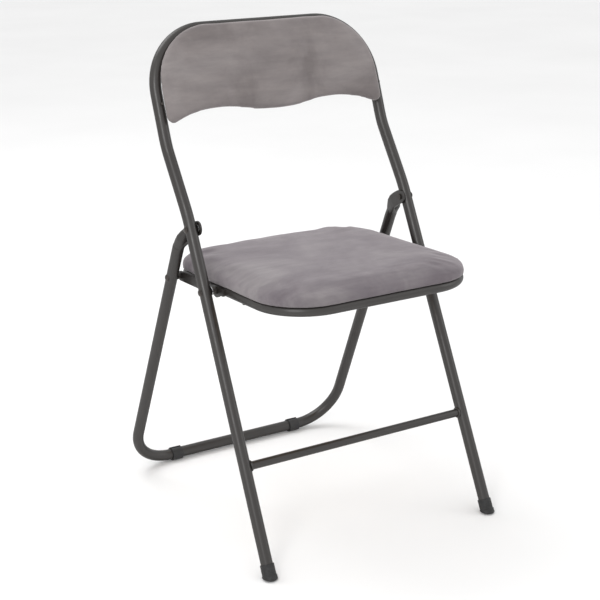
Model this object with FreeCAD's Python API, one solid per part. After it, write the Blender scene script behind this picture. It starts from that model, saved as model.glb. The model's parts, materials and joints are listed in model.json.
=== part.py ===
import FreeCAD, Part
import math
import os
from FreeCAD import Vector

# Folding chair with an upholstered seat and backrest on painted steel tube.
# Millimetres. +X is the sitter's left-hand side seen from the front, +Y is the rear, +Z is up.
# The origin is on the floor, in the middle of the chair's outer box.
# Three moving groups hang on the front frame: the rear frame (pivot A), the seat (pivot B) and,
# on the seat, two fold links whose free ends meet the bolts of the rear legs (pivot C).

# ---- driving dimensions -------------------------------------------------------------------
overall_height = 798.0
seat_pivot_height = 407.0         # pivot B, and the seat tube's axis above it
top_pivot_height = 498.0          # pivot A
bend_height_low = 517.6           # first bend of the front legs
bend_height_high = 615.6          # second bend, where the back starts

front_lean = 25.84                # degrees from vertical, floor to the first bend
middle_lean = 33.8                # between the two bends
back_lean = 20.6                  # the back
rear_lean = 23.29                 # rear legs
seat_tilt = 2.0                   # front edge of the seat higher than its rear edge

frame_half_width = 208.0          # leg axis at the first bend and above
leg_splay = 5.5                   # the axis stands this much wider at the floor
top_corner_radius = 101.0
low_bend_radius = 250.0
high_bend_radius = 120.0
rear_corner_radius = 76.0
fold_gap = 5.0                    # between front and rear legs when folded

frame_tube_radius = 9.5
frame_tube_wall = 1.2
crossbar_radius = 6.65
crossbar_height = 157.3
bead_radius = 2.2                 # weld bead around each end of the crossbar
bead_sink = 0.4                   # its middle line outside the crossbar's own surface
seat_tube_radius = 8.0
seat_tube_wall = 1.2

boot_wall = 1.6                   # rubber boot on each front foot
boot_length = 24.0
boot_lip = 0.9
boot_lip_top = 6.0
boot_lip_slope = 1.5
boot_sink = 6.0                   # the boot is drawn this far below the floor and cut level
foot_disc_radius = 7.5
foot_disc_height = 3.0
foot_disc_round = 1.2
bar_glide_wall = 2.5              # clip-on glides under the rear bar
bar_glide_width = 21.0
bar_glide_from_corner = 12.5
bar_glide_slit = 4.0

arc_start = 60.0                  # along a rear leg, below the point nearest to pivot A
press_from = 10.0                 # along the arc, where the round tube starts to flatten
press_to = 40.0                   # and where it is a flat tongue
press_steps = 4
horn_steps = 6
horn_to = 54.0                    # along the arc, the end of the round part that tapers behind
horn_clearance = 0.8              # between it and the front leg when folded
horn_sink = 0.3                   # inside the round tube's own surface
tongue_thickness = 3.0            # both walls pressed together
tongue_width = 23.0
press_swell = 0.06                # each next piece of the leg stands this much outside the last
press_overlap = 1.0

seat_overhang = 10.0              # the pad's widest outline beyond the seat ring's axis
seat_front = 243.0                # in front of the origin
seat_rear = 131.0                 # behind it
seat_front_corner = 86.5
seat_rear_corner = 75.0
ring_front_inset = 9.5            # the ring's axis inside the pad's outline
ring_rear_inset = 11.0
ring_front_corner_inset = 6.5
ring_rear_corner_inset = 10.0

board_thickness = 8.0
seat_pad_thickness = 29.0         # board, foam and cover
pad_clearance = 0.2               # between a pad and the tube it lies on
cover_thickness = 1.2
board_inset = 5.0
seat_edge_round = 17.0
seat_lower_round = 4.5
hem_width = 28.0                  # turned-under edge of the seat cover, from its widest outline
staple_length = 10.0
staple_width = 1.2
staple_height = 0.7
staple_pitch = 40.0
staple_ring_gap = 2.0             # between a staple and the inner side of the seat ring

back_side_inset = 4.0             # the pad's outline inside the frame tube's axis
back_top_overlap = 2.9            # the pad's top edge above the top tube's axis
back_corner_inset = 3.0
back_crest = 51.0                 # the lower edge's high points above the second bend
back_dip = 39.4                   # its middle
back_tip = 33.5                   # its outer ends
back_crest_position = 108.0
back_tip_inset = 13.5             # from the pad's side
back_side_corner = 14.0
back_pad_thickness = 19.0
back_board_thickness = 5.0
back_edge_round = 8.0
back_board_inset = 4.0

pin_radius = 3.0
running_clearance = 0.05          # radial, pin in a hole that turns on it
fixed_clearance = 0.02            # radial, pin in a hole that doesn't
gap = 0.3                         # between faces of pieces that move past each other
rivet_head_radius = 6.0
rivet_head_height = 3.0
button_height = 2.0               # closed inner end of a rivet
washer_radius = 7.0
washer_thickness = 1.0
washer_relief = 0.1               # a washer stands off the sloping leg by this much
spacer_radius = 6.0
nut_across_flats = 10.0
nut_height = 5.0
ear_thickness = 4.0               # seat bracket plates
ear_sink = 1.0                    # a plate's inner face inside the ring tube's side
ear_radius = 11.5
ear_half_length = 24.0
ear_strip_half_height = 6.0
link_thickness = 3.0
link_gap = 1.0                    # between an ear and a link
link_half_width = 8.0
link_nut_height = 3.0             # thin, so that it clears the seat ring's outer side
stud_reach = 0.6                  # a link's stud beyond its nut
screw_radius = 2.0
screw_head_radius = 3.5
screw_head_height = 1.6
screw_head_sink = 0.8             # the head bears on the round tube this deep
screw_short = 1.5                 # the tip ends this far inside the board
seat_screw_along = (-70.0, 20.0)  # along the seat from pivot B
back_screw_height = 66.0          # the side screws above the second bend, along the back
back_screw_spread = 80.0          # the top screws from the middle

# ---- stations across the chair, from the front leg's inner side inwards ----------------------
foot_half_width = frame_half_width + leg_splay
leg_side = frame_half_width - frame_tube_radius
tongue_outer = leg_side - washer_relief - washer_thickness - washer_relief
tongue_inner = tongue_outer - tongue_thickness
link_outer = tongue_inner - gap
link_inner = link_outer - link_thickness
ear_outer = link_inner - link_gap
ear_inner = ear_outer - ear_thickness
ring_side = ear_inner + ear_sink
seat_tube_half_width = ring_side - seat_tube_radius
seat_half_width = seat_tube_half_width + seat_overhang
back_half_width = frame_half_width - back_side_inset
back_corner_radius = top_corner_radius - back_corner_inset
back_tip_position = back_half_width - back_tip_inset
boot_radius = frame_tube_radius + boot_wall
bar_glide_radius = frame_tube_radius + bar_glide_wall
bar_glide_position = foot_half_width - rear_corner_radius - bar_glide_from_corner
rear_leg_offset = 2 * frame_tube_radius + fold_gap
staple_inset = seat_overhang + seat_tube_radius + staple_ring_gap

# ---- places in the chair's side view --------------------------------------------------------
tan = {name: math.tan(math.radians(value)) for name, value in
       {"front": front_lean, "middle": middle_lean, "back": back_lean, "rear": rear_lean}.items()}
cos_rear = math.cos(math.radians(rear_lean))
sin_rear = math.sin(math.radians(rear_lean))
bar_height = bar_glide_radius
foot_to_pivot = top_pivot_height * tan["front"]
bar_to_pivot = rear_leg_offset / cos_rear + (top_pivot_height - bar_height) * tan["rear"]
boot_reach = boot_radius + boot_lip
pivot_y = (foot_to_pivot + boot_reach - bar_to_pivot - bar_glide_radius) / 2
foot_y = pivot_y - foot_to_pivot
bar_y = pivot_y + bar_to_pivot


def front_leg_y(z):
    return foot_y + z * tan["front"]


def leg_x(z):
    """Distance of a leg's axis from the middle plane; the legs splay towards the floor."""
    share = min(z / bend_height_low, 1.0)
    return foot_half_width + (frame_half_width - foot_half_width) * share


def leg_inner(z):
    return leg_x(z) - frame_tube_radius


def leg_outer(z):
    return leg_x(z) + frame_tube_radius


bend_low = Vector(frame_half_width, front_leg_y(bend_height_low), bend_height_low)
bend_high = Vector(frame_half_width, bend_low.y + (bend_height_high - bend_height_low) * tan["middle"],
                   bend_height_high)
top_height = overall_height - frame_tube_radius
top_y = bend_high.y + (top_height - bend_height_high) * tan["back"]

pivot_a = Vector(0, pivot_y, top_pivot_height)
pivot_b = Vector(0, front_leg_y(seat_pivot_height), seat_pivot_height)

rear_up = Vector(0, -sin_rear, cos_rear)          # up along a rear leg
rear_front = Vector(0, -cos_rear, -sin_rear)      # square to it, towards pivot A
rear_nearest = pivot_a - rear_front * rear_leg_offset

seat_along = Vector(0, math.cos(math.radians(seat_tilt)), -math.sin(math.radians(seat_tilt)))
seat_up = Vector(0, math.sin(math.radians(seat_tilt)), math.cos(math.radians(seat_tilt)))


def turned(point, centre, degrees):
    """A point turned about an axis along +X through centre."""
    rotation = FreeCAD.Rotation(Vector(1, 0, 0), degrees)
    return centre + rotation.multVec(point - centre)


# Pivot C is where the rear leg's axis crosses the seat tube's plane.
reach_c = (rear_nearest - pivot_b).dot(rear_front) / seat_along.dot(rear_front)
pivot_c = pivot_b + seat_along * reach_c

# Folding: the rear legs swing forward until they lie along the front legs, and the seat's rear
# edge rises until the seat lies between the front legs.
rear_fold = front_lean + rear_lean
seat_fold = 90.0 - front_lean + seat_tilt
folded_c = turned(turned(pivot_c, pivot_a, -rear_fold), pivot_b, -seat_fold) - pivot_b
folded_along, folded_up = folded_c.dot(seat_along), folded_c.dot(seat_up)

# Pivot D sits on the seat tube, as far from C at rest as from C when folded.
reach_d = (reach_c ** 2 - folded_along ** 2 - folded_up ** 2) / (2 * (reach_c - folded_along))
pivot_d = pivot_b + seat_along * reach_d
link_length = reach_c - reach_d
link_fold = 360.0 - math.degrees(math.atan2(folded_up, folded_along - reach_d)) % 360.0


# ---- helpers ------------------------------------------------------------------------------
def rounded_path(points, radii):
    """A wire through the points with a tangent arc at each inner one."""
    edges = []
    start = points[0]
    for before, corner, after, radius in zip(points, points[1:], points[2:], radii):
        back = (before - corner).normalize()
        ahead = (after - corner).normalize()
        half = back.getAngle(ahead) / 2
        reach = radius / math.tan(half)
        middle = (back + ahead).normalize()
        centre = corner + middle * (radius / math.sin(half))
        first, last = corner + back * reach, corner + ahead * reach
        edges.append(Part.LineSegment(start, first).toShape())
        edges.append(Part.Arc(first, centre - middle * radius, last).toShape())
        start = last
    edges.append(Part.LineSegment(start, points[-1]).toShape())
    return Part.Wire(edges)


def pipe(path, radius):
    """A round solid along a path."""
    start = path.Edges[0].valueAt(path.Edges[0].FirstParameter)
    direction = path.Edges[0].tangentAt(path.Edges[0].FirstParameter)
    section = Part.Wire(Part.makeCircle(radius, start, direction))
    return path.makePipeShell([section], True, False)


def tube(path, radius, wall):
    return pipe(path, radius).cut(pipe(path, radius - wall))


def rod(x_from, x_to, place, radius):
    """A round bar along X between two stations, through the Y and Z of a place."""
    low, high = min(x_from, x_to), max(x_from, x_to)
    return Part.makeCylinder(radius, high - low, Vector(low, place.y, place.z), Vector(1, 0, 0))


def sleeve(x_from, x_to, place, radius, bore):
    return rod(x_from, x_to, place, radius).cut(rod(x_from - 1, x_to + 1, place, bore))


def dome(x_face, place, side):
    """A low domed rivet or bolt head standing on the face x = x_face, side +1 outwards."""
    radius = (rivet_head_radius ** 2 + rivet_head_height ** 2) / (2 * rivet_head_height)
    ball = Part.makeSphere(radius, Vector(x_face + side * (rivet_head_height - radius),
                                          place.y, place.z))
    reach = rivet_head_height + 1
    return ball.common(rod(x_face, x_face + side * reach, place, rivet_head_radius))


def hexagon(x_from, x_to, place, across_flats):
    """A hexagonal nut's body along X."""
    radius = across_flats / math.sqrt(3)
    corners = [Vector(x_from, place.y + radius * math.cos(math.radians(60 * k)),
                      place.z + radius * math.sin(math.radians(60 * k))) for k in range(7)]
    return Part.Face(Part.makePolygon(corners)).extrude(Vector(x_to - x_from, 0, 0))


def mirrored(shape):
    return shape.mirror(Vector(0, 0, 0), Vector(1, 0, 0))


def both_halves(half):
    return half.fuse(mirrored(half)).removeSplitter()


def pair(shape):
    return Part.makeCompound([shape, mirrored(shape)])


def place_on_seat(shape):
    """Turns a shape drawn level, with pivot B at the origin, onto the tilted seat."""
    shape.rotate(Vector(0, 0, 0), Vector(1, 0, 0), -seat_tilt)
    shape.translate(pivot_b)
    return shape


def place_on_back(shape):
    """Turns a shape drawn in the XZ plane, facing -Y, onto the leaning back above the second bend."""
    shape.rotate(Vector(0, 0, 0), Vector(1, 0, 0), -back_lean)
    shape.translate(Vector(0, bend_high.y, bend_high.z))
    return shape


def save(name, shape):
    shape.exportStep(os.path.join("parts", name + ".step"))


def save_sides(name, right):
    """Saves the piece at +X and its mirror image."""
    save(name + "_right", right)
    save(name + "_left", mirrored(right))


os.makedirs("parts", exist_ok=True)

# ---- front frame --------------------------------------------------------------------------
leg_direction = (bend_low - Vector(foot_half_width, foot_y, 0)).normalize()
foot = Vector(foot_half_width, foot_y, 0)
foot_end = foot + leg_direction * (foot_disc_height + boot_radius * tan["front"])
top_corner = Vector(frame_half_width, top_y, top_height)
top_middle = Vector(0, top_y, top_height)
front_path = rounded_path([foot_end, bend_low, bend_high, top_corner, top_middle],
                          [low_bend_radius, high_bend_radius, top_corner_radius])
front_outer = both_halves(pipe(front_path, frame_tube_radius))
front_tube = both_halves(tube(front_path, frame_tube_radius, frame_tube_wall))
for place in (pivot_a, pivot_b):
    front_tube = front_tube.cut(rod(-300, 300, place, pin_radius + fixed_clearance))

back_direction = Vector(0, math.sin(math.radians(back_lean)), math.cos(math.radians(back_lean)))
back_forward = Vector(0, -math.cos(math.radians(back_lean)), math.sin(math.radians(back_lean)))
back_length = (top_height - bend_height_high) / math.cos(math.radians(back_lean))
back_screw_places = [Vector(side * x, bend_high.y, bend_high.z) + back_direction * rise
                     for side in (-1, 1)
                     for x, rise in ((frame_half_width, back_screw_height),
                                     (back_screw_spread, back_length))]
for place in back_screw_places:
    front_tube = front_tube.cut(Part.makeCylinder(screw_radius + fixed_clearance, 40.0,
                                                  place - back_forward * 20.0, back_forward))

bar_place = Vector(0, front_leg_y(crossbar_height), crossbar_height)
crossbar = rod(-leg_x(crossbar_height), leg_x(crossbar_height), bar_place, crossbar_radius)
crossbar = crossbar.cut(front_outer)
bead = Part.makeTorus(crossbar_radius + bead_sink, bead_radius,
                      Vector(leg_inner(crossbar_height), bar_place.y, bar_place.z),
                      Vector(1, 0, 0))
bead = bead.cut(front_outer).cut(crossbar)

save("front_frame_tube", front_tube)
save("front_crossbar", crossbar)
save("crossbar_weld_beads", pair(bead))

# ---- boots and discs of the front feet ----------------------------------------------------
boot_rounds = [5.0, 0.6, 0.6, 1.0]             # heel, lip top, lip foot, upper rim
boot_profile = Part.Wire(rounded_path(
    [Vector(0, 0, -boot_sink), Vector(boot_reach, 0, -boot_sink),
     Vector(boot_reach, 0, boot_lip_top), Vector(boot_radius, 0, boot_lip_top + boot_lip_slope),
     Vector(boot_radius, 0, boot_length), Vector(0, 0, boot_length)], boot_rounds).Edges
    + [Part.LineSegment(Vector(0, 0, boot_length), Vector(0, 0, -boot_sink)).toShape()])
boot = Part.Face(boot_profile).revolve(Vector(0, 0, 0), Vector(0, 0, 1), 360)
boot.Placement = FreeCAD.Placement(foot, FreeCAD.Rotation(Vector(0, 0, 1), leg_direction))
floor_cut = Part.makeBox(100, 100, 50, Vector(foot.x - 50, foot.y - 50, foot_disc_height - 50))
boot = boot.cut(floor_cut).cut(front_outer)
boot = boot.cut(Part.makeCylinder(frame_tube_radius, boot_length * 2, foot_end, leg_direction))
disc = Part.makeCylinder(foot_disc_radius, foot_disc_height, foot)
disc = disc.makeFillet(foot_disc_round, [edge for edge in disc.Edges if abs(edge.CenterOfMass.z) < 0.01])
save_sides("foot_boot", boot)
save("foot_discs", pair(disc))

# ---- rear frame ---------------------------------------------------------------------------
# Above its straight part each leg bends forward in an arc that ends on pivot A. The arc starts
# round and is pressed flat on its way, so that its end lies along the front leg's inner side.
arc_radius = (arc_start ** 2 + rear_leg_offset ** 2) / (2 * rear_leg_offset)
arc_turn = math.atan2(arc_start, arc_radius - rear_leg_offset)
leg_top = rear_nearest - rear_up * arc_start
leg_top.x = leg_x(leg_top.z)
rear_foot = Vector(foot_half_width, bar_y, bar_height)
rear_path = rounded_path([Vector(0, bar_y, bar_height), rear_foot, leg_top],
                         [rear_corner_radius])
rear_tube = both_halves(tube(rear_path, frame_tube_radius, frame_tube_wall))
drilled_legs = rear_tube.cut(rod(-300, 300, pivot_c, pin_radius + fixed_clearance))


def on_arc(turn, offset, x):
    """A point at a turn along the upper arc, offset outwards from its middle line."""
    along = -arc_start + (arc_radius + offset) * math.sin(turn)
    ahead = arc_radius - (arc_radius + offset) * math.cos(turn)
    spot = rear_nearest + rear_up * along + rear_front * ahead
    return Vector(x, spot.y, spot.z)


def along_arc(turn):
    """The arc's own direction at a turn."""
    return rear_up * math.cos(turn) + rear_front * math.sin(turn)


def bent_bar(radius, turn_from, turn_to):
    """A round bar along part of the arc."""
    section = Part.makeCircle(radius, on_arc(turn_from, 0, leg_top.x), along_arc(turn_from))
    return Part.Face(Part.Wire(section)).revolve(on_arc(0, -arc_radius, leg_top.x),
                                                 Vector(1, 0, 0),
                                                 math.degrees(turn_to - turn_from))


def oval(centre, up, half_across, half_deep):
    """A closed outline of four edges square to up: a circle when both halves are equal, and a
    flat-sided strip when half_across, along X, is the smaller."""
    across = Vector(1, 0, 0)
    deep = up.cross(across).normalize()
    is_round = half_across == half_deep
    middle = half_deep * math.cos(math.radians(45)) if is_round else half_deep - half_across
    side = middle if is_round else half_across
    corners = [(-side, -middle), (side, -middle), (side, middle), (-side, middle)]
    ends = [(0, -half_deep), (half_across, 0), (0, half_deep), (-half_across, 0)]
    place = [centre + across * a + deep * d for a, d in corners]
    between = [centre + across * a + deep * d for a, d in ends]
    edges = []
    for k in range(4):
        first, last = place[k], place[(k + 1) % 4]
        if is_round or k % 2 == 0:
            edges.append(Part.Arc(first, between[k], last).toShape())
        else:
            edges.append(Part.LineSegment(first, last).toShape())
    return Part.Wire(edges)


def horn_section(share):
    """The round part behind the tongue: its rear side follows the tube and it thins towards the
    tongue so that it stays clear of the front leg when the chair is folded."""
    turn = round_turn / 2 + (horn_to / arc_radius - round_turn / 2) * share
    room = rear_leg_offset - arc_radius * (1 - math.cos(turn)) - horn_clearance
    radius = min(horn_side, room / 2)
    x = leg_top.x + (tongue_outer + radius - leg_top.x) * share ** 2
    return oval(on_arc(turn, horn_side - radius, x), along_arc(turn), radius, radius)


def pressed_section(share):
    """The tube's outline between round (share 0) and flat (share 1)."""
    ease = share * share * (3 - 2 * share)
    turn = round_turn + (flat_turn - round_turn) * share
    half_across = round_half + (tongue_thickness / 2 - round_half) * ease
    half_deep = round_half + (half_tongue - round_half) * ease
    side = leg_top.x - round_half
    side += (tongue_inner - side) * ease
    return oval(on_arc(turn, 0, side + half_across), along_arc(turn), half_across, half_deep)


overlap_turn = press_overlap / arc_radius
round_turn = press_from / arc_radius - overlap_turn
flat_turn = press_to / arc_radius
bend_bar = bent_bar(frame_tube_radius + press_swell, -overlap_turn, round_turn + overlap_turn)
bend_bore = bent_bar(frame_tube_radius - frame_tube_wall - press_swell, -2 * overlap_turn,
                     round_turn + overlap_turn)
round_half = frame_tube_radius + 2 * press_swell
horn_side = frame_tube_radius - horn_sink
half_tongue = tongue_width / 2
sections = [pressed_section(step / press_steps) for step in range(press_steps + 1)]
pressed = Part.makeLoft(sections, True, True)
horn = Part.makeLoft([horn_section(step / horn_steps) for step in range(horn_steps + 1)], True, True)

end_point = pivot_a + along_arc(arc_turn) * half_tongue
half_turn = (flat_turn + arc_turn) / 2
tongue_edges = [
    Part.Arc(on_arc(flat_turn, half_tongue, tongue_inner),
             on_arc(half_turn, half_tongue, tongue_inner),
             on_arc(arc_turn, half_tongue, tongue_inner)).toShape(),
    Part.Arc(on_arc(arc_turn, half_tongue, tongue_inner),
             Vector(tongue_inner, end_point.y, end_point.z),
             on_arc(arc_turn, -half_tongue, tongue_inner)).toShape(),
    Part.Arc(on_arc(arc_turn, -half_tongue, tongue_inner),
             on_arc(half_turn, -half_tongue, tongue_inner),
             on_arc(flat_turn, -half_tongue, tongue_inner)).toShape(),
    Part.LineSegment(on_arc(flat_turn, -half_tongue, tongue_inner),
                     on_arc(flat_turn, half_tongue, tongue_inner)).toShape()]
tongue = Part.Face(Part.Wire(tongue_edges)).extrude(Vector(tongue_thickness, 0, 0))
rear_end = bend_bar.cut(bend_bore).fuse(pressed).fuse(horn).fuse(tongue)
rear_tube = rear_tube.fuse(rear_end).fuse(mirrored(rear_end)).removeSplitter()
rear_tube = rear_tube.cut(rod(-300, 300, pivot_a, pin_radius + running_clearance))
rear_tube = rear_tube.cut(rod(-300, 300, pivot_c, pin_radius + fixed_clearance))
save("rear_frame_tube", rear_tube)

glide = Part.makeCylinder(bar_glide_radius, bar_glide_width,
                          Vector(bar_glide_position - bar_glide_width / 2, bar_y, bar_height),
                          Vector(1, 0, 0))
glide = glide.makeFillet(0.8, [edge for edge in glide.Edges if edge.Length > 50])
glide = glide.cut(rod(0, 300, Vector(0, bar_y, bar_height), frame_tube_radius))
glide = glide.cut(Part.makeBox(bar_glide_width * 2, bar_glide_slit, bar_glide_radius * 2,
                               Vector(bar_glide_position - bar_glide_width,
                                      bar_y - bar_glide_slit / 2, bar_height)))
save_sides("rear_bar_glide", glide)

# ---- pivot A: a rivet through the leg, a washer and the tongue ------------------------------
a_inner = tongue_inner - 0.2
a_rivet = rod(a_inner - button_height, leg_outer(top_pivot_height), pivot_a, pin_radius)
a_rivet = a_rivet.fuse(rod(a_inner - button_height, a_inner, pivot_a, rivet_head_radius - 1))
a_rivet = a_rivet.fuse(dome(leg_outer(top_pivot_height) - 0.5, pivot_a, 1)).removeSplitter()
a_rivet = a_rivet.cut(front_tube)
a_washer = sleeve(tongue_outer + washer_relief, tongue_outer + washer_relief + washer_thickness,
                  pivot_a, washer_radius, pin_radius + fixed_clearance)
save_sides("pivot_rivet", a_rivet)
save("pivot_washers", pair(a_washer))

# ---- pivot B: a bolt through the leg and the seat ring ---------------------------------------
b_leg_inner = leg_inner(seat_pivot_height)
b_nut_outer = seat_tube_half_width - seat_tube_radius - gap
b_bolt = rod(b_nut_outer - nut_height - 1.5, leg_outer(seat_pivot_height), pivot_b, pin_radius)
b_bolt = b_bolt.fuse(dome(leg_outer(seat_pivot_height) - 0.5, pivot_b, 1)).removeSplitter()
b_bolt = b_bolt.cut(front_tube)
b_washer = sleeve(b_leg_inner - washer_relief - washer_thickness, b_leg_inner - washer_relief, pivot_b,
                  washer_radius, pin_radius + fixed_clearance)
b_spacer = sleeve(ear_outer + gap, b_leg_inner - 2 * washer_relief - washer_thickness, pivot_b,
                  spacer_radius, pin_radius + fixed_clearance)
b_nut = hexagon(b_nut_outer - nut_height, b_nut_outer, pivot_b, nut_across_flats)
b_nut = b_nut.cut(rod(0, 300, pivot_b, pin_radius + fixed_clearance))
save_sides("seat_bolt", b_bolt)
save("seat_bolt_washers", pair(b_washer))
save("seat_bolt_spacers", pair(b_spacer))
save("seat_bolt_nuts", pair(b_nut))

# ---- pivot C: a bolt in each rear leg, ending short of the link ------------------------------
c_inner = leg_inner(pivot_c.z)
c_tip = link_outer + gap
c_bolt = rod(c_tip, leg_outer(pivot_c.z), pivot_c, pin_radius)
c_bolt = c_bolt.fuse(dome(leg_outer(pivot_c.z) - 0.5, pivot_c, 1)).removeSplitter()
c_bolt = c_bolt.cut(drilled_legs)
c_spacer = sleeve(c_tip, c_inner - 0.02, pivot_c, spacer_radius - 1, pin_radius + fixed_clearance)
save_sides("rear_bolt", c_bolt)
save("rear_bolt_spacers", pair(c_spacer))

# ---- seat ring, ears, links -----------------------------------------------------------------
ring_front = -seat_front + ring_front_inset - pivot_b.y
ring_rear = seat_rear - ring_rear_inset - pivot_b.y
ring_path = rounded_path([Vector(0, ring_front, 0), Vector(seat_tube_half_width, ring_front, 0),
                          Vector(seat_tube_half_width, ring_rear, 0), Vector(0, ring_rear, 0)],
                         [seat_front_corner - ring_front_corner_inset,
                          seat_rear_corner - ring_rear_corner_inset])
ring_outer = place_on_seat(both_halves(pipe(ring_path, seat_tube_radius)))
ring = place_on_seat(both_halves(tube(ring_path, seat_tube_radius, seat_tube_wall)))
ring = ring.cut(rod(-300, 300, pivot_b, pin_radius + running_clearance))
ring = ring.cut(rod(-300, 300, pivot_d, pin_radius + fixed_clearance))

ear = Part.makeCylinder(ear_radius, ear_thickness, Vector(ear_inner, 0, 0), Vector(1, 0, 0))
strip = Part.makeBox(ear_thickness, 2 * ear_half_length, 2 * ear_strip_half_height,
                     Vector(ear_inner, -ear_half_length, -ear_strip_half_height))
strip = strip.makeFillet(3.0, [edge for edge in strip.Edges
                               if abs(edge.Length - ear_thickness) < 0.01])
ear = place_on_seat(ear.fuse(strip).removeSplitter()).cut(ring_outer)
ear_top = seat_tube_radius - 0.5
above_ring = place_on_seat(Part.makeBox(2 * ear_thickness, 2 * ear_half_length, 2 * ear_radius,
                                        Vector(ear_inner - ear_thickness, -ear_half_length,
                                               ear_top)))
ear = ear.cut(above_ring).cut(rod(0, 300, pivot_b, pin_radius + running_clearance))

link = rod(link_inner, link_outer, pivot_c, link_half_width)
link = link.fuse(rod(link_inner, link_outer, pivot_d, link_half_width))
bar = Part.makeBox(link_thickness, link_length, 2 * link_half_width,
                   Vector(link_inner, reach_d, -link_half_width))
link = link.fuse(place_on_seat(bar)).removeSplitter()
link = link.cut(rod(0, 300, pivot_d, pin_radius + running_clearance))
link = link.cut(rod(0, 300, pivot_c, pin_radius + fixed_clearance))
stud = rod(link_inner - link_nut_height - stud_reach, link_outer, pivot_c, pin_radius)
link_nut = hexagon(link_inner - link_nut_height, link_inner, pivot_c, nut_across_flats)
link_nut = link_nut.cut(rod(0, 300, pivot_c, pin_radius + fixed_clearance))

d_inner = seat_tube_half_width - seat_tube_radius
d_outer = link_outer + 0.15
d_rivet = rod(d_inner - button_height, d_outer + button_height, pivot_d, pin_radius)
for x_from in (d_inner - button_height, d_outer):
    d_rivet = d_rivet.fuse(rod(x_from, x_from + button_height, pivot_d, rivet_head_radius - 1))
d_rivet = d_rivet.removeSplitter().cut(ring)
d_bush = sleeve(ring_side - seat_tube_radius / 4, link_inner - 0.15, pivot_d, spacer_radius,
                pin_radius + fixed_clearance).cut(ring_outer)
save_sides("seat_pivot_ear", ear)
save_sides("fold_link", link)
save_sides("link_stud", stud)
save_sides("link_nut", link_nut)
save_sides("link_rivet", d_rivet)
save("link_bushes", pair(d_bush))

# ---- seat pad: board, foam, cover -----------------------------------------------------------
def seat_outline(inset, height):
    """The seat's outline, inset by a distance, at a height over the ring's middle plane."""
    half = seat_half_width - inset
    front = -seat_front - pivot_b.y + inset
    rear = seat_rear - pivot_b.y - inset
    half_path = rounded_path([Vector(0, front, height), Vector(half, front, height),
                              Vector(half, rear, height), Vector(0, rear, height)],
                             [seat_front_corner - inset, seat_rear_corner - inset])
    return Part.Wire(half_path.Edges + mirrored(half_path).Edges)


def closed_outline(edges):
    return Part.Wire(Part.__sortEdges__(edges))


def slab(outline_wire, rise):
    return Part.Face(closed_outline(outline_wire.Edges)).extrude(rise)


def rounded_slab(body, is_top, radius):
    edges = [edge for edge in body.Edges if is_top(edge.CenterOfMass)]
    return body.makeFillet(radius, edges)


pad_bottom = seat_tube_radius + pad_clearance
pad_top = pad_bottom + seat_pad_thickness
board_bottom = pad_bottom + cover_thickness
board_top = board_bottom + board_thickness
foam_top = pad_top - cover_thickness
seat_board = slab(seat_outline(board_inset, board_bottom), Vector(0, 0, board_thickness))
seat_foam = slab(seat_outline(cover_thickness, board_top), Vector(0, 0, foam_top - board_top))
seat_foam = rounded_slab(seat_foam, lambda c: abs(c.z - foam_top) < 0.01,
                         seat_edge_round - cover_thickness)
seat_cover = slab(seat_outline(0, pad_bottom), Vector(0, 0, seat_pad_thickness))
seat_cover = rounded_slab(seat_cover, lambda c: abs(c.z - pad_top) < 0.01, seat_edge_round)
seat_cover = rounded_slab(seat_cover, lambda c: abs(c.z - pad_bottom) < 0.01, seat_lower_round)
hem_opening = slab(seat_outline(hem_width, pad_bottom - 1), Vector(0, 0, 2 * cover_thickness))
seat_cover = seat_cover.cut(seat_board).cut(seat_foam).cut(hem_opening)

pad_front, pad_rear = -seat_front - pivot_b.y, seat_rear - pivot_b.y
staple_bottom = pad_bottom - staple_height
seat_staples = [Part.makeBox(staple_length, staple_width, staple_height,
                             Vector(k * staple_pitch - staple_length / 2, along, staple_bottom))
                for k in range(-2, 3)
                for along in (pad_front + staple_inset, pad_rear - staple_inset)]
side_staple = Vector(seat_half_width - staple_inset, pad_front + seat_front_corner, staple_bottom)
seat_staples += [Part.makeBox(staple_width, staple_length, staple_height,
                              Vector(side * side_staple.x - staple_width / 2,
                                     side_staple.y + k * staple_pitch, staple_bottom))
                 for k in range(3) for side in (-1, 1)]

seat_screw_places = [Vector(side * seat_tube_half_width, along, -seat_tube_radius)
                     for side in (-1, 1) for along in seat_screw_along]
seat_shank = 2 * seat_tube_radius + pad_clearance + cover_thickness + board_thickness - screw_short
seat_screws, holes = [], []
for place in seat_screw_places:
    head = Part.makeCylinder(screw_head_radius, screw_head_height,
                             place - Vector(0, 0, screw_head_height - screw_head_sink))
    shank = Part.makeCylinder(screw_radius, seat_shank, place)
    seat_screws.append(place_on_seat(head.fuse(shank).removeSplitter()))
    hole = Part.makeCylinder(screw_radius + fixed_clearance, seat_pad_thickness,
                             place - Vector(0, 0, screw_head_height))
    holes.append(place_on_seat(hole))
seat_drill = Part.makeCompound(holes)
ring = ring.cut(seat_drill)
save("seat_ring_tube", ring)
save("seat_board", place_on_seat(seat_board).cut(seat_drill))
save("seat_foam", place_on_seat(seat_foam))
save("seat_cover", place_on_seat(seat_cover).cut(seat_drill))
save("seat_screws", Part.makeCompound([screw.cut(ring) for screw in seat_screws]))
save("seat_staples", Part.makeCompound([place_on_seat(staple) for staple in seat_staples]))

# ---- backrest: board, foam, cover -----------------------------------------------------------
back_top = back_length + back_top_overlap


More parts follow.
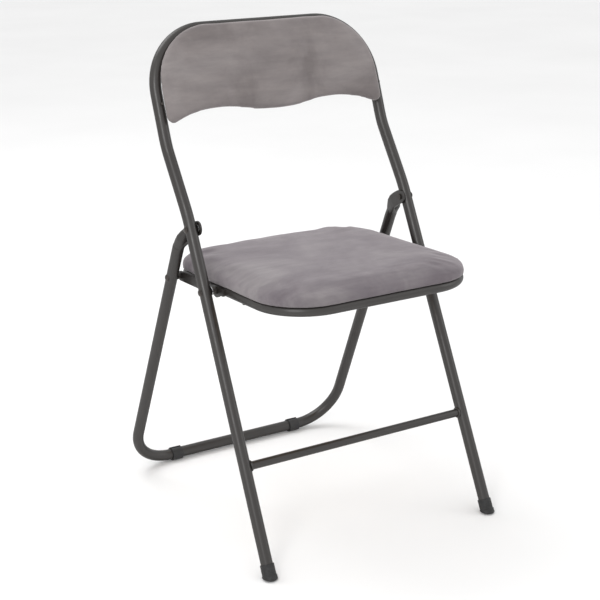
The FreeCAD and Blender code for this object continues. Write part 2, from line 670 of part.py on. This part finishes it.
def back_outline(inset, depth):
    """The backrest's outline in the back's plane, inset by a distance: straight sides, round upper
    corners and a lower edge that rises to a crest on each side of a shallow dip."""
    half = back_half_width - inset
    top = back_top - inset
    rise = back_crest - back_dip
    sum_of_radii = (back_crest_position ** 2 + rise ** 2) / (2 * rise)
    tip_run = back_tip_position - back_crest_position
    crest_radius = (tip_run ** 2 + (back_crest - back_tip) ** 2) / (2 * (back_crest - back_tip))
    dip_radius = sum_of_radii - crest_radius
    crest = Vector(back_crest_position, depth, back_crest - crest_radius)
    dip = Vector(0, depth, back_dip + dip_radius)
    crest_reach, dip_reach = crest_radius + inset, dip_radius - inset
    across = (crest - dip).normalize()
    join = dip + across * dip_reach
    lean_half = math.atan2(across.x, -across.z) / 2
    dip_middle = dip + Vector(math.sin(lean_half), 0, -math.cos(lean_half)) * dip_reach
    tip_angle = math.asin((tip_run - inset / 2) / crest_reach)
    tip = crest + Vector(math.sin(tip_angle), 0, math.cos(tip_angle)) * crest_reach
    crest_top = crest + Vector(0, 0, crest_reach)
    corner = Vector(half, depth, tip.z + (half - tip.x) * 0.45)
    heel = Vector(half - (half - tip.x) * 0.35, depth, tip.z + (half - tip.x) * 0.12)
    turn = back_corner_radius - inset
    diagonal = turn * (1 - math.cos(math.radians(45)))
    return [
        Part.Arc(Vector(0, depth, dip.z - dip_reach), dip_middle, join).toShape(),
        Part.Arc(join, crest_top, tip).toShape(),
        Part.Arc(tip, heel, corner).toShape(),
        Part.LineSegment(corner, Vector(half, depth, top - turn)).toShape(),
        Part.Arc(Vector(half, depth, top - turn), Vector(half - diagonal, depth, top - diagonal),
                 Vector(half - turn, depth, top)).toShape(),
        Part.LineSegment(Vector(half - turn, depth, top), Vector(0, depth, top)).toShape()]


def back_slab(inset, depth, thickness):
    half = Part.Wire(back_outline(inset, depth))
    outline = Part.Wire(Part.__sortEdges__(half.Edges + mirrored(half).Edges))
    return Part.Face(outline).extrude(Vector(0, -thickness, 0))


back_face = -frame_tube_radius - pad_clearance  # the pad's rear face, on the front of the tube
board_face = back_face - cover_thickness
foam_face = board_face - back_board_thickness
front_face = back_face - back_pad_thickness
back_board = back_slab(back_board_inset, board_face, back_board_thickness)
back_foam = back_slab(cover_thickness, foam_face, foam_face - front_face - cover_thickness)
back_foam = rounded_slab(back_foam, lambda c: abs(c.y - front_face - cover_thickness) < 0.01,
                         back_edge_round - cover_thickness)
back_cover = back_slab(0, back_face, back_pad_thickness)
back_cover = rounded_slab(back_cover, lambda c: abs(c.y - front_face) < 0.01, back_edge_round)
back_cover = back_cover.cut(back_board).cut(back_foam)

back_shank = (2 * frame_tube_radius + pad_clearance + cover_thickness + back_board_thickness
              - screw_short)
back_screws, back_holes = [], []
for place in back_screw_places:
    rear_side = place - back_forward * frame_tube_radius
    head = Part.makeCylinder(screw_head_radius, screw_head_height,
                             rear_side - back_forward * (screw_head_height - screw_head_sink),
                             back_forward)
    shank = Part.makeCylinder(screw_radius, back_shank, rear_side, back_forward)
    back_screws.append(head.fuse(shank).removeSplitter().cut(front_tube))
    back_holes.append(Part.makeCylinder(screw_radius + fixed_clearance, back_shank + screw_radius,
                                        rear_side, back_forward))
back_drill = Part.makeCompound(back_holes)
save("back_board", place_on_back(back_board).cut(back_drill))
save("back_foam", place_on_back(back_foam))
save("back_cover", place_on_back(back_cover).cut(back_drill))
save("back_screws", Part.makeCompound(back_screws))

print("pivots A B C D", pivot_a, pivot_b, pivot_c, pivot_d)
print("link length", link_length, "folds", rear_fold, seat_fold, link_fold)
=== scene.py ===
import json
import math

import bpy
import numpy as np
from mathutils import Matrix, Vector, noise


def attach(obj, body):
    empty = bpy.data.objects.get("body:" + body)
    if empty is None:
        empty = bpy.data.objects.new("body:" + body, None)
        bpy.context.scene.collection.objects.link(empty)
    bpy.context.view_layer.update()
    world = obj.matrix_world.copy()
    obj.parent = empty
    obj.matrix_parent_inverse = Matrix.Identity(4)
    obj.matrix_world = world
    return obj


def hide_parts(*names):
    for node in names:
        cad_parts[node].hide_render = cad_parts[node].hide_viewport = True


# Folding chair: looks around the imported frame. Metres, in the frame's own axes: +Z up, -Y the way
# the sitter faces. The painted tubes, bolts and boots are the CAD's own; the two pads are
# modelled here as velvet over foam and replace their plain CAD solids.

MM = 0.001
SEAT_TILT = math.radians(2.0)
BACK_LEAN = math.radians(20.6)
SEAT_FRONT_CORNER, SEAT_REAR_CORNER = 86.5 * MM, 75.0 * MM
HEM_WIDTH = 28.0 * MM

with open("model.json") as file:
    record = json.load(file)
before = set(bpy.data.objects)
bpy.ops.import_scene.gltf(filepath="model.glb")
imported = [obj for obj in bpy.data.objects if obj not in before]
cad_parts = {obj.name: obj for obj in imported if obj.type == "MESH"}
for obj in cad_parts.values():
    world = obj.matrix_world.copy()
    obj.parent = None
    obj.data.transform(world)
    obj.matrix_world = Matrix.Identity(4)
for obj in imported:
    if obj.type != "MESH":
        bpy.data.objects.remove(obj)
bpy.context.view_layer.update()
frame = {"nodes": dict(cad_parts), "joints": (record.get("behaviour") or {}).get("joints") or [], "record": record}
nodes = frame["nodes"]
joints = {joint["name"]: joint for joint in frame["joints"]}


# ---- shader helpers -------------------------------------------------------------------------
class Shader:
    """A node material built line by line."""

    def __init__(self, name, **shader_values):
        self.material = bpy.data.materials.new(name)
        self.material.use_nodes = True
        self.tree = self.material.node_tree
        self.shader = self.tree.nodes["Principled BSDF"]
        for key, value in shader_values.items():
            self.shader.inputs[key.replace("_", " ")].default_value = value
        self.place = self.add("ShaderNodeTexCoord").outputs["Object"]

    def add(self, kind, **values):
        node = self.tree.nodes.new(kind)
        for key, value in values.items():
            if key in node.bl_rna.properties:
                setattr(node, key, value)
            else:
                node.inputs[key.replace("_", " ")].default_value = value
        return node

    def link(self, source, target):
        self.tree.links.new(source, target)

    def stretched(self, scale, rotation=(0, 0, 0)):
        mapping = self.add("ShaderNodeMapping", Scale=scale, Rotation=rotation)
        self.link(self.place, mapping.inputs["Vector"])
        return mapping.outputs["Vector"]

    def noise(self, scale, detail=3.0, roughness=0.5, distortion=0.0, place=None):
        node = self.add("ShaderNodeTexNoise", Scale=scale, Detail=detail,
                        Roughness=roughness, Distortion=distortion)
        self.link(place or self.place, node.inputs["Vector"])
        return node.outputs["Fac"]

    def ramp(self, factor, stops):
        node = self.add("ShaderNodeValToRGB")
        band = node.color_ramp
        while len(band.elements) < len(stops):
            band.elements.new(0.5)
        for element, (position, colour) in zip(band.elements, stops):
            element.position = position
            element.color = (*colour, 1.0)
        self.link(factor, node.inputs["Fac"])
        return node.outputs["Color"]

    def spread(self, factor, low, high, from_low=0.3, from_high=0.7):
        node = self.add("ShaderNodeMapRange")
        for key, value in (("From Min", from_low), ("From Max", from_high),
                           ("To Min", low), ("To Max", high)):
            node.inputs[key].default_value = value
        self.link(factor, node.inputs["Value"])
        return node.outputs["Result"]

    def mix(self, factor, first, second, mode="MIX"):
        node = self.add("ShaderNodeMix", data_type="RGBA", blend_type=mode)
        colour_inputs = [socket for socket in node.inputs if socket.type == "RGBA"]
        for socket, value in zip(colour_inputs, (first, second)):
            if isinstance(value, tuple):
                socket.default_value = (*value, 1.0)
            else:
                self.link(value, socket)
        if isinstance(factor, float):
            node.inputs["Factor"].default_value = factor
        else:
            self.link(factor, node.inputs["Factor"])
        return [socket for socket in node.outputs if socket.type == "RGBA"][0]

    def bump(self, height, strength, distance, after=None):
        node = self.add("ShaderNodeBump", Strength=strength, Distance=distance)
        self.link(height, node.inputs["Height"])
        if after is not None:
            self.link(after, node.inputs["Normal"])
        return node.outputs["Normal"]

    def colour(self, socket):
        self.link(socket, self.shader.inputs["Base Color"])

    def roughness(self, socket):
        self.link(socket, self.shader.inputs["Roughness"])

    def normal(self, socket):
        self.link(socket, self.shader.inputs["Normal"])


def tube_paint():
    """Dark brown-black enamel with an orange-peel skin. Its gloss fades where the surface turns away, and its
    colour is darkened there too as painted shade, so a tube shows one soft streak between dark edges."""
    s = Shader("tube_paint", IOR=1.5)
    broad = s.noise(9.0, detail=4.0)
    turned = s.add("ShaderNodeLayerWeight", Blend=0.35).outputs["Facing"]
    paint = s.ramp(broad, [(0.3, (0.0165, 0.0135, 0.0120)), (0.7, (0.0225, 0.0195, 0.0175))])
    # painted shade: the enamel's colour is multiplied darker where the surface turns away from the camera
    painted_edge_shade = s.ramp(turned, [(0.25, (1.0, 1.0, 1.0)), (0.85, (0.30, 0.26, 0.25))])
    s.colour(s.mix(1.0, paint, painted_edge_shade, "MULTIPLY"))
    s.link(s.spread(turned, 0.62, 0.05, 0.2, 0.75), s.shader.inputs["Specular IOR Level"])
    s.roughness(s.spread(s.noise(60.0, detail=5.0), 0.30, 0.42))
    s.normal(s.bump(s.noise(900.0, detail=2.0), 0.12, 0.0002))
    return s.material


def black_steel():
    s = Shader("black_steel", Metallic=0.6)
    s.colour(s.ramp(s.noise(150.0, detail=4.0),
                    [(0.3, (0.030, 0.026, 0.024)), (0.75, (0.075, 0.066, 0.060))]))
    s.roughness(s.spread(s.noise(300.0), 0.28, 0.45))
    s.normal(s.bump(s.noise(700.0), 0.2, 0.0002))
    return s.material


def zinc():
    s = Shader("zinc", Metallic=1.0)
    s.colour(s.ramp(s.noise(260.0, detail=5.0),
                    [(0.3, (0.46, 0.47, 0.48)), (0.7, (0.66, 0.67, 0.67))]))
    s.roughness(s.spread(s.noise(500.0), 0.22, 0.4))
    s.normal(s.bump(s.noise(900.0), 0.15, 0.0001))
    return s.material


def rubber():
    s = Shader("rubber", IOR=1.45)
    s.colour(s.ramp(s.noise(180.0, detail=5.0),
                    [(0.3, (0.012, 0.012, 0.012)), (0.75, (0.026, 0.026, 0.027))]))
    s.roughness(s.spread(s.noise(320.0), 0.5, 0.72))
    s.normal(s.bump(s.noise(1200.0), 0.25, 0.0002))
    return s.material


def plastic():
    s = Shader("plastic", IOR=1.46)
    s.colour(s.ramp(s.noise(120.0, detail=4.0),
                    [(0.3, (0.014, 0.014, 0.015)), (0.75, (0.028, 0.027, 0.027))]))
    s.roughness(s.spread(s.noise(240.0), 0.38, 0.55))
    s.normal(s.bump(s.noise(800.0), 0.2, 0.0002))
    return s.material


def foam():
    s = Shader("foam", IOR=1.4)
    s.colour(s.ramp(s.noise(400.0, detail=4.0), [(0.35, (0.55, 0.50, 0.36)), (0.7, (0.68, 0.63, 0.48))]))
    s.roughness(s.spread(s.noise(300.0), 0.85, 0.97))
    s.normal(s.bump(s.noise(500.0), 0.5, 0.0005))
    return s.material


def plywood():
    s = Shader("plywood", IOR=1.45)
    grain = s.noise(60.0, detail=6.0, roughness=0.6, distortion=0.6,
                    place=s.stretched((1.0, 0.08, 1.0)))
    s.colour(s.ramp(grain, [(0.3, (0.26, 0.15, 0.075)), (0.5, (0.42, 0.27, 0.145)),
                            (0.72, (0.54, 0.37, 0.22))]))
    s.roughness(s.spread(grain, 0.6, 0.8))
    s.normal(s.bump(grain, 0.2, 0.0004))
    return s.material


def velvet(name, nap_turn, dark, middle, light, contrast):
    """Short-pile velvet: the nap lies this way and that, so it turns lighter and darker in
    soft patches and in brush strokes along one direction."""
    s = Shader(name, Sheen_Weight=0.35, Sheen_Roughness=0.45, IOR=1.35,
               Sheen_Tint=(0.95, 0.90, 0.92, 1.0), Specular_IOR_Level=0.15)
    patches = s.noise(9.0, detail=6.0, roughness=0.58, distortion=0.5)
    strokes = s.noise(30.0, detail=5.0, roughness=0.62, distortion=0.25,
                      place=s.stretched((0.45, 2.4, 2.4), nap_turn))
    base = s.ramp(patches, [(0.34, dark), (0.5, middle), (0.66, light)])
    low, high = 1.0 - contrast, 1.0 + contrast * 0.6
    brushed = s.ramp(strokes, [(0.35, (low, low, low * 1.02)), (0.68, (high, high, high))])
    s.colour(s.mix(0.8, base, brushed, "MULTIPLY"))
    s.roughness(s.spread(patches, 0.80, 0.95))
    pile = s.noise(2200.0, detail=3.0, roughness=0.7)
    nap = s.noise(140.0, detail=4.0, roughness=0.6, distortion=0.4)
    s.normal(s.bump(pile, 0.35, 0.0004, s.bump(nap, 0.16, 0.0008)))
    return s.material


SEAT_VELVET = velvet("seat_velvet", (0, 0, math.radians(22)), (0.120, 0.103, 0.114),
                     (0.158, 0.140, 0.150), (0.205, 0.188, 0.192), 0.16)
BACK_VELVET = velvet("back_velvet", (0, math.radians(90), 0), (0.160, 0.142, 0.139),
                     (0.205, 0.184, 0.180), (0.232, 0.211, 0.206), 0.14)
MATERIALS = {"painted_tube": tube_paint(), "black_fastener": black_steel(), "zinc_steel": zinc(),
             "boot_rubber": rubber(), "glide_plastic": plastic(), "plywood": plywood(),
             "velvet": SEAT_VELVET, "foam": foam()}
for part in frame["record"]["subparts"]:
    node = nodes[part["node"]]
    node.data.materials.clear()
    node.data.materials.append(MATERIALS[part["material_slot"]])


# ---- pads -------------------------------------------------------------------------------------
class Plane:
    """A pad's own directions: x across the chair, v along the pad, w out of it."""

    def __init__(self, origin, along, out):
        self.origin, self.along, self.out = np.array(origin), np.array(along), np.array(out)

    def to_world(self, points):
        p = np.asarray(points, float)
        return self.origin + p[:, 1:2] * self.along + p[:, 2:3] * self.out + p[:, 0:1] * [1, 0, 0]

    def to_local(self, points):
        p = np.asarray(points, float) - self.origin
        return np.stack([p[:, 0], p @ self.along, p @ self.out], 1)

    def box(self, node):
        spots = self.to_local([vertex.co for vertex in nodes[node].data.vertices])
        return spots.min(0), spots.max(0)


def arc(centre, radius, start, end, count):
    """Points on an arc between two angles in degrees."""
    angles = np.radians(np.linspace(start, end, count))
    return [(centre[0] + radius * math.cos(a), centre[1] + radius * math.sin(a)) for a in angles]


def seat_outline():
    """The seat's widest outline, from its front middle round to the front middle again."""
    low, high = seat_plane.box("seat_cover")
    half, front, rear = high[0], low[1], high[1]
    points = arc((half - SEAT_FRONT_CORNER, front + SEAT_FRONT_CORNER), SEAT_FRONT_CORNER, -90, 0, 40)
    points += arc((half - SEAT_REAR_CORNER, rear - SEAT_REAR_CORNER), SEAT_REAR_CORNER, 0, 90, 40)
    return even_loop(points + [(-x, v) for x, v in reversed(points)])


def back_outline():
    """The backrest's outline, read off the rim of its cover's flat rear face."""
    mesh = nodes["back_cover"].data
    spots = back_plane.to_local([vertex.co for vertex in mesh.vertices])
    rear = spots[:, 2].min() + 0.05 * MM
    flat = [tuple(f.vertices) for f in mesh.polygons if all(spots[k, 2] < rear for k in f.vertices)]
    key = {k: tuple(np.round(spots[k, :2] / MM, 3)) for face in flat for k in face}
    count = {}
    for face in flat:
        for first, second in zip(face, face[1:] + face[:1]):
            edge = frozenset((key[first], key[second]))
            count[edge] = count.get(edge, 0) + 1
    ahead = {}
    for edge, uses in count.items():
        if uses == 1 and len(edge) == 2:
            first, second = edge
            ahead.setdefault(first, []).append(second)
            ahead.setdefault(second, []).append(first)
    start = max(ahead)
    loop, last, here = [start], None, start
    while True:
        onward = [spot for spot in ahead[here] if spot != last]
        last, here = here, onward[0]
        if here == start:
            break
        loop.append(here)
    return even_loop([(x * MM, v * MM) for x, v in loop])


def even_loop(points, step=3.0 * MM):
    """A closed outline at an even step, running anticlockwise."""
    loop = np.array(list(points) + [points[0]])
    loop = loop[np.concatenate([[True], np.hypot(*np.diff(loop, axis=0).T) > 1e-7])]
    if np.sum(loop[:-1, 0] * loop[1:, 1] - loop[1:, 0] * loop[:-1, 1]) < 0:
        loop = loop[::-1]
    run = np.concatenate([[0], np.cumsum(np.hypot(*np.diff(loop, axis=0).T))])
    spots = np.linspace(0, run[-1], round(run[-1] / step), endpoint=False)
    return np.stack([np.interp(spots, run, loop[:, k]) for k in range(2)], 1)


def inset(loop, distance):
    """An even anticlockwise loop moved inwards."""
    ahead = np.roll(loop, -1, axis=0) - np.roll(loop, 1, axis=0)
    ahead /= np.linalg.norm(ahead, axis=1, keepdims=True)
    return loop + distance * np.stack([-ahead[:, 1], ahead[:, 0]], 1)


def distance_inside(points, loop):
    """How far each point lies inside a loop, measured to its nearest vertex."""
    gaps = points[:, None, :2] - loop[None]
    return np.sqrt((gaps ** 2).sum(2).min(1))


def mesh_object(name, points, faces):
    mesh = bpy.data.meshes.new(name)
    mesh.from_pydata([tuple(p) for p in points], [], faces)
    mesh.update()
    obj = bpy.data.objects.new(name, mesh)
    bpy.context.collection.objects.link(obj)
    return obj


def lofted(name, plane, loop, profile):
    """A closed solid of the outline at each (inset, height) of a profile, bottom to top."""
    count = len(loop)
    points = [(x, v, w * MM) for depth, w in profile for x, v in inset(loop, depth * MM)]
    faces = [(k + layer, (k + 1) % count + layer, (k + 1) % count + layer + count,
              k + layer + count)
             for layer in range(0, (len(profile) - 1) * count, count) for k in range(count)]
    faces.append(tuple(reversed(range(count))))
    faces.append(tuple(range((len(profile) - 1) * count, len(profile) * count)))
    return mesh_object(name, plane.to_world(points), faces)


def remeshed(obj, voxel):
    bpy.context.view_layer.objects.active = obj
    modifier = obj.modifiers.new("remesh", "REMESH")
    modifier.mode = "VOXEL"
    modifier.voxel_size = voxel
    modifier.use_smooth_shade = True
    bpy.ops.object.modifier_apply(modifier=modifier.name)


def coordinates(mesh):
    flat = np.zeros(len(mesh.vertices) * 3)
    mesh.vertices.foreach_get("co", flat)
    return flat.reshape(-1, 3)


def set_coordinates(mesh, points):
    mesh.vertices.foreach_set("co", np.asarray(points).ravel())
    mesh.update()


def inflated(obj, pinned, pressure, cap):
    """Blows the pad up as cloth: pinned points stay, no point moves further than cap."""
    start = coordinates(obj.data)
    group = obj.vertex_groups.new(name="held")
    group.add([int(k) for k in np.nonzero(pinned)[0]], 1.0, "REPLACE")
    cloth = obj.modifiers.new("cloth", "CLOTH")
    settings = cloth.settings
    settings.quality = 6
    settings.mass = 0.3
    settings.tension_stiffness = settings.compression_stiffness = 18
    settings.bending_stiffness = 0.6
    settings.use_pressure = True
    settings.uniform_pressure_force = pressure
    settings.effector_weights.gravity = 0
    settings.vertex_group_mass = "held"
    cloth.point_cache.frame_start, cloth.point_cache.frame_end = 1, 20
    scene = bpy.context.scene
    for step in range(1, 21):
        scene.frame_set(step)
    done = obj.evaluated_get(bpy.context.evaluated_depsgraph_get())
    moved = coordinates(done.data) - start
    obj.modifiers.remove(cloth)
    obj.vertex_groups.remove(group)
    scene.frame_set(1)
    length = np.maximum(np.linalg.norm(moved, axis=1, keepdims=True), 1e-9)
    # a soft limit, so that the crown has no flat plateau where the cap is reached
    capped = start + moved / length * (cap * np.tanh(length / cap))
    set_coordinates(obj.data, capped)


def smoothed(obj, rounds, factor=0.5):
    modifier = obj.modifiers.new("smooth", "SMOOTH")
    modifier.iterations = rounds
    modifier.factor = factor
    bpy.context.view_layer.objects.active = obj
    bpy.ops.object.modifier_apply(modifier=modifier.name)


def subdivided(obj, levels=1):
    modifier = obj.modifiers.new("subdivide", "SUBSURF")
    modifier.levels = modifier.render_levels = levels
    bpy.context.view_layer.objects.active = obj
    bpy.ops.object.modifier_apply(modifier=modifier.name)


seat_plane = Plane(joints["seat_fold"]["pos_m"],
                   (0, math.cos(SEAT_TILT), -math.sin(SEAT_TILT)),
                   (0, math.sin(SEAT_TILT), math.cos(SEAT_TILT)))
board = np.array([vertex.co for vertex in nodes["back_board"].data.vertices])
back_plane = Plane(board.mean(0) * [0, 1, 1], (0, math.sin(BACK_LEAN), math.cos(BACK_LEAN)),
                   (0, -math.cos(BACK_LEAN), math.sin(BACK_LEAN)))


def crowned(pad, plane, loop, edge, height, reach, above):
    """Raises the upholstered side in a soft crown that starts at the edge's inset."""
    local = plane.to_local(coordinates(pad.data))
    depth = np.maximum(distance_inside(local, loop) - edge * MM, 0)
    share = np.clip((local[:, 2] / MM - above) / 4.0, 0, 1)
    local[:, 2] += share * height * MM * (1 - np.exp(-depth / (reach * MM)))
    set_coordinates(pad.data, plane.to_world(local))


def rippled(pad, plane, loop, size, height, seed):
    """Faint unevenness of the fabric, strongest along the rim."""
    local = plane.to_local(coordinates(pad.data))
    depth = distance_inside(local, loop)
    normals = np.zeros(len(local) * 3)
    pad.data.vertices.foreach_get("normal", normals)
    waves = np.array([noise.noise(Vector(spot) / (size * MM) + Vector((seed, 0, 0)))
                      for spot in local])
    strength = height * MM * (0.35 + 0.65 * np.exp(-depth / (30 * MM)))
    moved = coordinates(pad.data) + normals.reshape(-1, 3) * (waves * strength)[:, None]
    set_coordinates(pad.data, moved)


def held_back(pad, plane, low, high):
    """Keeps the pad between two heights of its plane."""
    local = plane.to_local(coordinates(pad.data))
    local[:, 2] = np.clip(local[:, 2], low, high)
    set_coordinates(pad.data, plane.to_world(local))


def finished(pad, material, body, fill, *replaced):
    pad.data.materials.append(material)
    for polygon in pad.data.polygons:
        polygon.use_smooth = True
    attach(pad, body)
    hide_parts(*replaced)


def seat_pad():
    low, high = seat_plane.box("seat_cover")
    bottom, top = low[2] / MM, high[2] / MM
    loop = seat_outline()
    profile = [(3.0, bottom - 2.0), (1.6, bottom + 3.0), (0.6, bottom + 8.8),
               (1.6, bottom + 13.0), (4.5, bottom + 16.5)]
    pad = lofted("seat_cushion", seat_plane, loop, profile)
    remeshed(pad, 4.5 * MM)
    crowned(pad, seat_plane, loop, 5.0, 8.5, 16.0, bottom + 12)
    local = seat_plane.to_local(coordinates(pad.data))
    inflated(pad, local[:, 2] < low[2] + 3.0 * MM, 4.0, 2.4 * MM)
    smoothed(pad, 3)
    subdivided(pad)
    rippled(pad, seat_plane, loop, 34.0, 0.9, 3.1)
    local = seat_plane.to_local(coordinates(pad.data))
    # the middle of the underside goes up into the board, which shows inside the hem
    under = local[:, 2] < low[2] + 2.5 * MM
    depth = distance_inside(local, loop)
    rise = np.clip((depth - HEM_WIDTH) / (5 * MM) + 0.3, 0, 1) * 3.5 * MM
    local[under, 2] = low[2] + rise[under]
    set_coordinates(pad.data, seat_plane.to_world(local))
    held_back(pad, seat_plane, low[2], high[2] + 2 * MM)
    finished(pad, SEAT_VELVET, "seat", 0.85, "seat_cover", "seat_foam")


def back_pad():
    low, high = back_plane.box("back_cover")
    rear, front = low[2] / MM, high[2] / MM
    loop = back_outline()
    profile = [(1.5, rear - 1.5), (0.0, rear + 2.5), (-0.4, rear + 7.0), (1.0, rear + 11.0),
               (3.5, rear + 14.0)]
    pad = lofted("back_cushion", back_plane, loop, profile)
    remeshed(pad, 4.0 * MM)
    crowned(pad, back_plane, loop, 4.0, 3.4, 12.0, rear + 10)
    local = back_plane.to_local(coordinates(pad.data))
    inflated(pad, local[:, 2] < low[2] + 2.0 * MM, 4.0, 1.6 * MM)
    smoothed(pad, 3)
    subdivided(pad)
    rippled(pad, back_plane, loop, 30.0, 0.8, 8.4)
    held_back(pad, back_plane, low[2], high[2] + 1.5 * MM)
    finished(pad, BACK_VELVET, "front_frame", 0.85, "back_cover", "back_foam")


seat_pad()
back_pad()


# ---- floor, light, camera ---------------------------------------------------------------------
def floor():
    s = Shader("floor_white", Roughness=0.9)
    s.colour(s.ramp(s.noise(1.5), [(0.3, (0.86, 0.86, 0.86)), (0.7, (0.89, 0.89, 0.89))]))
    size = 14.0
    corners = [(-size, -size, 0), (size, -size, 0), (size, size, 0), (-size, size, 0)]
    plane = mesh_object("floor", corners, [(0, 1, 2, 3)])
    plane.data.materials.append(s.material)


def area_light(name, place, target, size, power):
    light = bpy.data.lights.new(name, "AREA")
    light.shape = "RECTANGLE"
    light.size, light.size_y = size
    light.energy = power
    obj = bpy.data.objects.new(name, light)
    obj.location = place
    obj.rotation_euler = (Vector(target) - Vector(place)).to_track_quat("-Z", "Y").to_euler()
    bpy.context.collection.objects.link(obj)


def studio():
    world = bpy.data.worlds.new("studio")
    world.use_nodes = True
    world.node_tree.nodes["Background"].inputs["Color"].default_value = (1, 1, 1, 1)
    world.node_tree.nodes["Background"].inputs["Strength"].default_value = 1.0
    bpy.context.scene.world = world
    area_light("key", (-2.4, -1.9, 2.0), (0, 0, 0.45), (0.9, 1.8), 34)
    area_light("fill", (2.6, -1.6, 1.6), (0, 0, 0.4), (1.2, 1.6), 8)
    area_light("rear_top", (-0.6, 1.6, 2.8), (0, 0, 0.4), (1.6, 1.6), 26)


def camera():
    lens = bpy.data.cameras.new("camera")
    lens.lens, lens.sensor_width = 85.51, 36.0
    obj = bpy.data.objects.new("camera", lens)
    obj.location = (-1.2185, -1.9023, 1.0687)
    target = Vector((-0.00827, 0, 0.348793))
    obj.rotation_euler = (target - obj.location).to_track_quat("-Z", "Y").to_euler()
    bpy.context.collection.objects.link(obj)
    bpy.context.scene.camera = obj


floor()
studio()
camera()
bpy.context.scene.view_settings.view_transform = "Standard"
